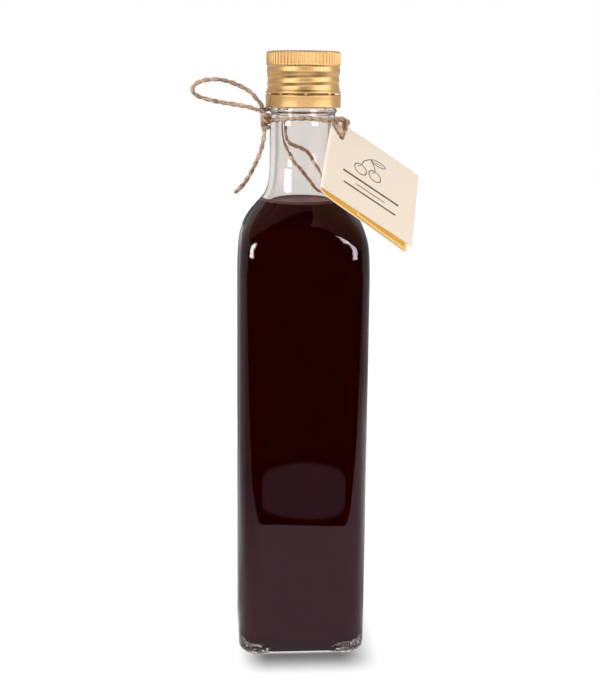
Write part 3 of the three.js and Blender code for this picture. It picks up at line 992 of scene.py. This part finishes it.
def ribbon(line, width, closed=False):
    """A flat printed line on the card's face, as thin as ink but closed all round."""
    line = np.asarray(line, float)
    if closed:
        ahead, behind = np.roll(line, -1, 0), np.roll(line, 1, 0)
    else:
        ahead, behind = np.vstack([line[1:], line[-1:]]), np.vstack([line[:1], line[:-1]])
    direction = ahead - behind
    direction /= np.linalg.norm(direction, axis=1)[:, None]
    aside = np.stack([-direction[:, 1], direction[:, 0]], 1) * width / 2
    corners = [(line + aside, -INK), (line - aside, -INK), (line - aside, INK), (line + aside, INK)]
    rings = np.stack([np.column_stack([p[:, 0], np.full(len(p), y), p[:, 1]]) for p, y in corners], 1)
    faces = ring_faces(len(line), 4, joined=True) if closed else tube_faces(len(line), 4)
    return rings.reshape(-1, 3), faces


def oval(centre, width, height, turn=0.0):
    angle = np.arange(OVAL_POINTS) * 2 * math.pi / OVAL_POINTS
    x, y = width / 2 * np.cos(angle), height / 2 * np.sin(angle)
    return np.stack([centre[0] + x * math.cos(turn) - y * math.sin(turn),
                     centre[1] + x * math.sin(turn) + y * math.cos(turn)], 1)


def curved_line(*points):
    return smooth_path([(x, z, 0) for x, z in points], 0.4)[:, :2]


def make_print():
    """A plain drawing of two cherries with a leaf, over three rules."""
    parts = [
        ribbon(oval((17.2, 25.2), 6.2, 6.0), FRUIT_LINE, closed=True),
        ribbon(oval((24.6, 26.4), 6.2, 6.0), FRUIT_LINE, closed=True),
        ribbon(curved_line((17.4, 28.3), (18.2, 31.2), (21.4, 35.2)), STALK_LINE),
        ribbon(curved_line((24.4, 29.5), (23.6, 32.4), (21.4, 35.2)), STALK_LINE),
        ribbon(oval((25.6, 35.4), 7.4, 3.0, 0.12), LEAF_LINE, closed=True),
        ribbon(curved_line((21.6, 35.0), (24, 35.2), (28, 35.6)), FINE_LINE),
        ribbon(curved_line((15.6, 25.8), (16.2, 27.0), (17.3, 27.4)), FINE_LINE),
        ribbon(curved_line((23.0, 27.0), (23.6, 28.2), (24.7, 28.6)), FINE_LINE),
        ribbon([(9, 18.2), (38, 18.2)], 1.1),
        ribbon([(16, 14.6), (31, 14.6)], 0.5),
        ribbon([(10, 11.4), (37, 11.4)], 0.95),
    ]
    points, faces = merge(parts)
    make_piece("tag_print", on_tag(points), faces, [BROWN_INK], sharp=30)


make_tag()
make_print()

# Floor, just under the base so that their faces don't fall together. It glows with painted light, which
# depends on the ray.

FLOOR_CORNERS = ((-1500, -330), (1500, -330), (1500, 2500), (-1500, 2500))
FLOOR_GAP = 0.05
WHITE = (1, 1, 1)
# Where the lit part of the floor starts
TABLE_EDGE = (-0.197, -0.194)
# Slopes of the left, right, front and back side of the painted contact shadow and of the painted dark
# under the bottle
CONTACT_SHADOW = ((-0.031, -0.0145), (0.016, 0.037), (-0.049, -0.0268), (0.027, 0.045))
UNDER_BOTTLE = ((-0.040, -0.030), (0.030, 0.040), (-0.040, -0.030), (0.030, 0.040))
# Painted light for the camera and for diffuse rays, and what the painted contact shadow takes from it
CAMERA_LEVEL, CAMERA_SHADOW = 1.05, 0.87
SPILL_LEVEL, SPILL_SHADOW = 0.75, 0.6
# Painted light through the glass: away from the foot, painted shade under it and painted glints at its
# corners
THROUGH_LEVEL, FOOT_LEVEL, GLINT_LEVEL = 0.85, 0.03, 0.75
GLINT_SCALE = 260
GLINT_NOISE = (0.44, 0.58)
NO_GLINTS = ((-0.023, -0.015), (0.014, 0.021))
# Painted light in sharp reflections: bright round a place beside the bottle, dim right behind it
BRIGHT_X = 0.15
BRIGHT_REACH = (0.20, 0.45)
FAR_LEVEL = 0.42
BEHIND_START = (-0.01, 0.035)
BEHIND_WIDTH = (0.03, 0.16)
BEHIND_LEVEL = 0.25
FRONT_TO_BACK = (-0.03, 0.05)
FRONT_LEVEL, BACK_LEVEL = 0.60, 0.85
MIRRORED_LEVEL = 1.45
MIRRORED_CHANGE = (-0.06, 0.0)
# Colours of the painted reflections, in front of the bottle and behind it
FRONT_COLOR = (1.0, 0.66, 0.82)
BACK_COLOR = (1.0, 0.88, 0.91)
# A faint oval patch of painted light in front of the lit part, also seen in sharp reflections
PATCH_CENTRE = (0.015, -0.261)
PATCH_HALF = (0.041, 0.056)
PATCH_EDGE = (0.7, 1.05)
PATCH_LEVEL = 0.21


def plain_floor_light(shades, x, y, table):
    """Painted light for the camera, for rays that went through the glass and for all other plain rays,
    with a painted contact shadow, painted shade under the foot and painted glints at its corners.
    """
    shadow = shades.field(x, y, *CONTACT_SHADOW)
    seen = shades.math("SUBTRACT", CAMERA_LEVEL, shades.product(shadow, CAMERA_SHADOW))
    shaded = shades.math("SUBTRACT", SPILL_LEVEL, shades.product(shadow, SPILL_SHADOW))
    spill = shades.product(table, shaded)
    at_corners = shades.math("SUBTRACT", 1.0, shades.between(x, *NO_GLINTS))
    glints = shades.range(shades.noise(GLINT_SCALE), *GLINT_NOISE, 0.0, GLINT_LEVEL)
    foot = shades.math("ADD", shades.product(glints, at_corners), FOOT_LEVEL)
    dark = shades.math("MAXIMUM", shades.field(x, y, *UNDER_BOTTLE), shadow)
    through = shades.pick(dark, THROUGH_LEVEL, foot)
    other = shades.pick(shades.ray("Transmission"), spill, through)
    return shades.pick(shades.ray("Camera"), other, seen)


def mirrored_floor_light(shades, x, y, table):
    """Painted light that the floor sends to sharp reflections."""
    aside = shades.math("SUBTRACT", x, BRIGHT_X)
    away = shades.math("SQRT", shades.math("ADD", shades.product(aside, aside), shades.product(y, y)))
    right_behind = shades.range(shades.math("ABSOLUTE", x), *BEHIND_WIDTH, BEHIND_LEVEL, 1.0)
    near = shades.product(
        table,
        shades.pick(shades.range(y, *BEHIND_START), 1.0, right_behind),
        shades.range(away, *BRIGHT_REACH, 1.0, FAR_LEVEL),
        shades.range(y, *FRONT_TO_BACK, FRONT_LEVEL, BACK_LEVEL))
    squares = []
    for place, centre, half in zip((x, y), PATCH_CENTRE, PATCH_HALF):
        part = shades.product(shades.math("SUBTRACT", place, centre), 1 / half)
        squares.append(shades.product(part, part))
    patch = shades.range(shades.math("ADD", *squares), *PATCH_EDGE, PATCH_LEVEL, 0.0)
    return shades.product(shades.math("MAXIMUM", near, patch), MIRRORED_LEVEL)


def floor_material():
    material = bpy.data.materials.new("floor")
    material.use_nodes = True
    material.node_tree.nodes.remove(material.node_tree.nodes["Principled BSDF"])
    shades = Shades(material.node_tree)
    x, y, _ = shades.split("Object")
    table = shades.range(y, *TABLE_EDGE)
    plain = shades.glow("ShaderNodeEmission", WHITE, plain_floor_light(shades, x, y, table))
    level = mirrored_floor_light(shades, x, y, table)
    in_front = shades.glow("ShaderNodeEmission", FRONT_COLOR, level)
    at_back = shades.glow("ShaderNodeEmission", BACK_COLOR, level)
    mirrored = shades.mix(shades.range(y, *MIRRORED_CHANGE), in_front, at_back)
    surface = shades.mix(shades.mirrored(), plain, mirrored)
    shades.links.new(surface, shades.nodes["Material Output"].inputs["Surface"])
    return material


def make_floor():
    corners = [(x, y, -FLOOR_GAP) for x, y in FLOOR_CORNERS]
    mesh = bpy.data.meshes.new("floor")
    mesh.from_pydata((np.array(corners) * MM).tolist(), [], [[0, 1, 2, 3]])
    mesh.materials.append(floor_material())
    floor = bpy.data.objects.new("floor", mesh)
    scene.collection.objects.link(floor)


# Surroundings, by direction: white for the camera, a lit half behind and beside the bottle, a dark
# one in front and a reddish ceiling. X is right, Y back and Z up in a direction of length 1.

SKY_SIDES = 0.2
SKY_START = (-0.03, 0.03)
SKY_TOP = (0.5, 0.6)
SKY_COLOR = (1.0, 0.985, 0.97)
DARK_LEVEL = 0.01
# Levels for diffuse rays, rays through the glass by Y, and sharp reflections by X
DIFFUSE_SKY = 0.5
THROUGH_Y, THROUGH_SKY = (0.5, 0.97), (0.3, 0.88)
MIRRORED_X, MIRRORED_SKY = (0.1, 0.45), (0.12, 0.4)
CEILING_TILT = 0.39
CEILING_FLARE = 0.46
CEILING_EDGE = (-0.02, 0.02)
CEILING_START = (0.45, 0.55)
CEILING_LEVEL = 0.27
CEILING_COLOR = (1.0, 0.45, 0.45)


def make_surroundings():
    world = bpy.data.worlds.new("studio")
    scene.world = world
    world.use_nodes = True
    shades = Shades(world.node_tree)
    x, y, z = shades.split("Generated")
    aside = shades.math("ABSOLUTE", x)
    beside = shades.math("ADD", y, shades.product(aside, SKY_SIDES))
    sky = shades.product(shades.range(beside, *SKY_START), shades.range(z, *SKY_TOP, 1.0, 0.0))
    through = shades.range(y, *THROUGH_Y, *THROUGH_SKY)
    plain = shades.pick(shades.ray("Transmission"), DIFFUSE_SKY, through)
    mirrored = shades.range(aside, *MIRRORED_X, *MIRRORED_SKY)
    level = shades.product(sky, shades.pick(shades.mirrored(), plain, mirrored))
    edge = shades.math(
        "SUBTRACT", shades.product(z, CEILING_TILT), shades.product(aside, CEILING_FLARE))
    ceiling = shades.product(
        shades.range(shades.math("ADD", y, edge), *CEILING_EDGE), shades.range(z, *CEILING_START))
    around = shades.glow("ShaderNodeBackground", SKY_COLOR, shades.math("ADD", level, DARK_LEVEL))
    above = shades.glow("ShaderNodeBackground", CEILING_COLOR, shades.product(ceiling, CEILING_LEVEL))
    both = shades.add("ShaderNodeAddShader", {0: around, 1: above}).outputs["Shader"]
    backdrop = shades.glow("ShaderNodeBackground", WHITE, 1.0)
    surface = shades.mix(shades.ray("Camera"), both, backdrop)
    shades.links.new(surface, shades.nodes["World Output"].inputs["Surface"])


# Softboxes. Those for the glass stand far off, so that neck and body see them from the same side.

AIM_HEIGHT = 190
FAR, NEAR = 3000, 900
WARM = (1, 0.93, 0.91)
COOL = (1, 0.88, 0.97)
GLASS_PIECES = ("bottle_glass",)
CAP_PIECES = ("screw_cap",)
LOOP_PIECES = ("hanging_loop",)
MATTE_PIECES = ("bow_loop", "bow_tail", "neck_twine", "jute_fibres", "folded_tag", "tag_print")
SOFTBOXES = (
    # name, azimuth right of the front and elevation in degrees, size, distance, radiance, colour
    # and the pieces that it lights
    ("left_softbox", (-58, 16.6), (1060, 1880), FAR, 21, WARM, GLASS_PIECES),
    ("right_softbox", (37.5, 16.6), (1330, 1880), FAR, 12.5, COOL, GLASS_PIECES),
    ("right_upper_softbox", (19, 22.5), (640, 580), FAR, 12.5, COOL, GLASS_PIECES),
    ("left_matte_light", (-57, 17.3), (340, 460), NEAR, 17, WHITE, MATTE_PIECES),
    ("right_matte_light", (51, 18.3), (380, 500), NEAR, 10.5, WHITE, MATTE_PIECES),
    ("matte_fill", (0, 5), (1200, 900), NEAR, 0.4, WHITE, MATTE_PIECES),
    ("loop_fill", (0, 5), (1200, 900), NEAR, 1.6, WHITE, LOOP_PIECES),
    ("left_cap_light", (-50, 22), (700, 800), NEAR, 1.9, WHITE, CAP_PIECES),
    ("right_cap_light", (60, 20), (900, 800), NEAR, 1.8, WHITE, CAP_PIECES),
    ("cap_fill", (0, 5), (1200, 900), NEAR, 0.9, WHITE, CAP_PIECES),
)


def piece_collection(name, piece_names):
    collection = bpy.data.collections.new(name)
    for piece_name in piece_names:
        collection.objects.link(pieces[piece_name])
    return collection


def make_softbox(name, place, extent, distance, radiance, color, lit, blockers):
    azimuth, elevation = (math.radians(angle) for angle in place)
    level = math.cos(elevation)
    away = Vector((math.sin(azimuth) * level, -math.cos(azimuth) * level, math.sin(elevation)))
    data = bpy.data.lights.new(name, "AREA")
    data.shape = "RECTANGLE"
    data.size = extent[0] * MM
    data.size_y = extent[1] * MM
    data.color = color
    data.energy = radiance * math.pi * extent[0] * extent[1] * MM * MM
    box = bpy.data.objects.new(name, data)
    box.rotation_euler = away.to_track_quat("Z", "Y").to_euler()
    box.location = Vector((0, 0, AIM_HEIGHT * MM)) + away * distance * MM
    box.visible_camera = False
    scene.collection.objects.link(box)
    box.light_linking.receiver_collection = piece_collection(name, lit)
    box.light_linking.blocker_collection = blockers


make_floor()
make_surroundings()
# The glass blocks no softbox's light
solid_pieces = piece_collection("solid_pieces", [name for name in pieces if name not in GLASS_PIECES])
for softbox in SOFTBOXES:
    make_softbox(*softbox, solid_pieces)
scene.view_settings.view_transform = "Standard"
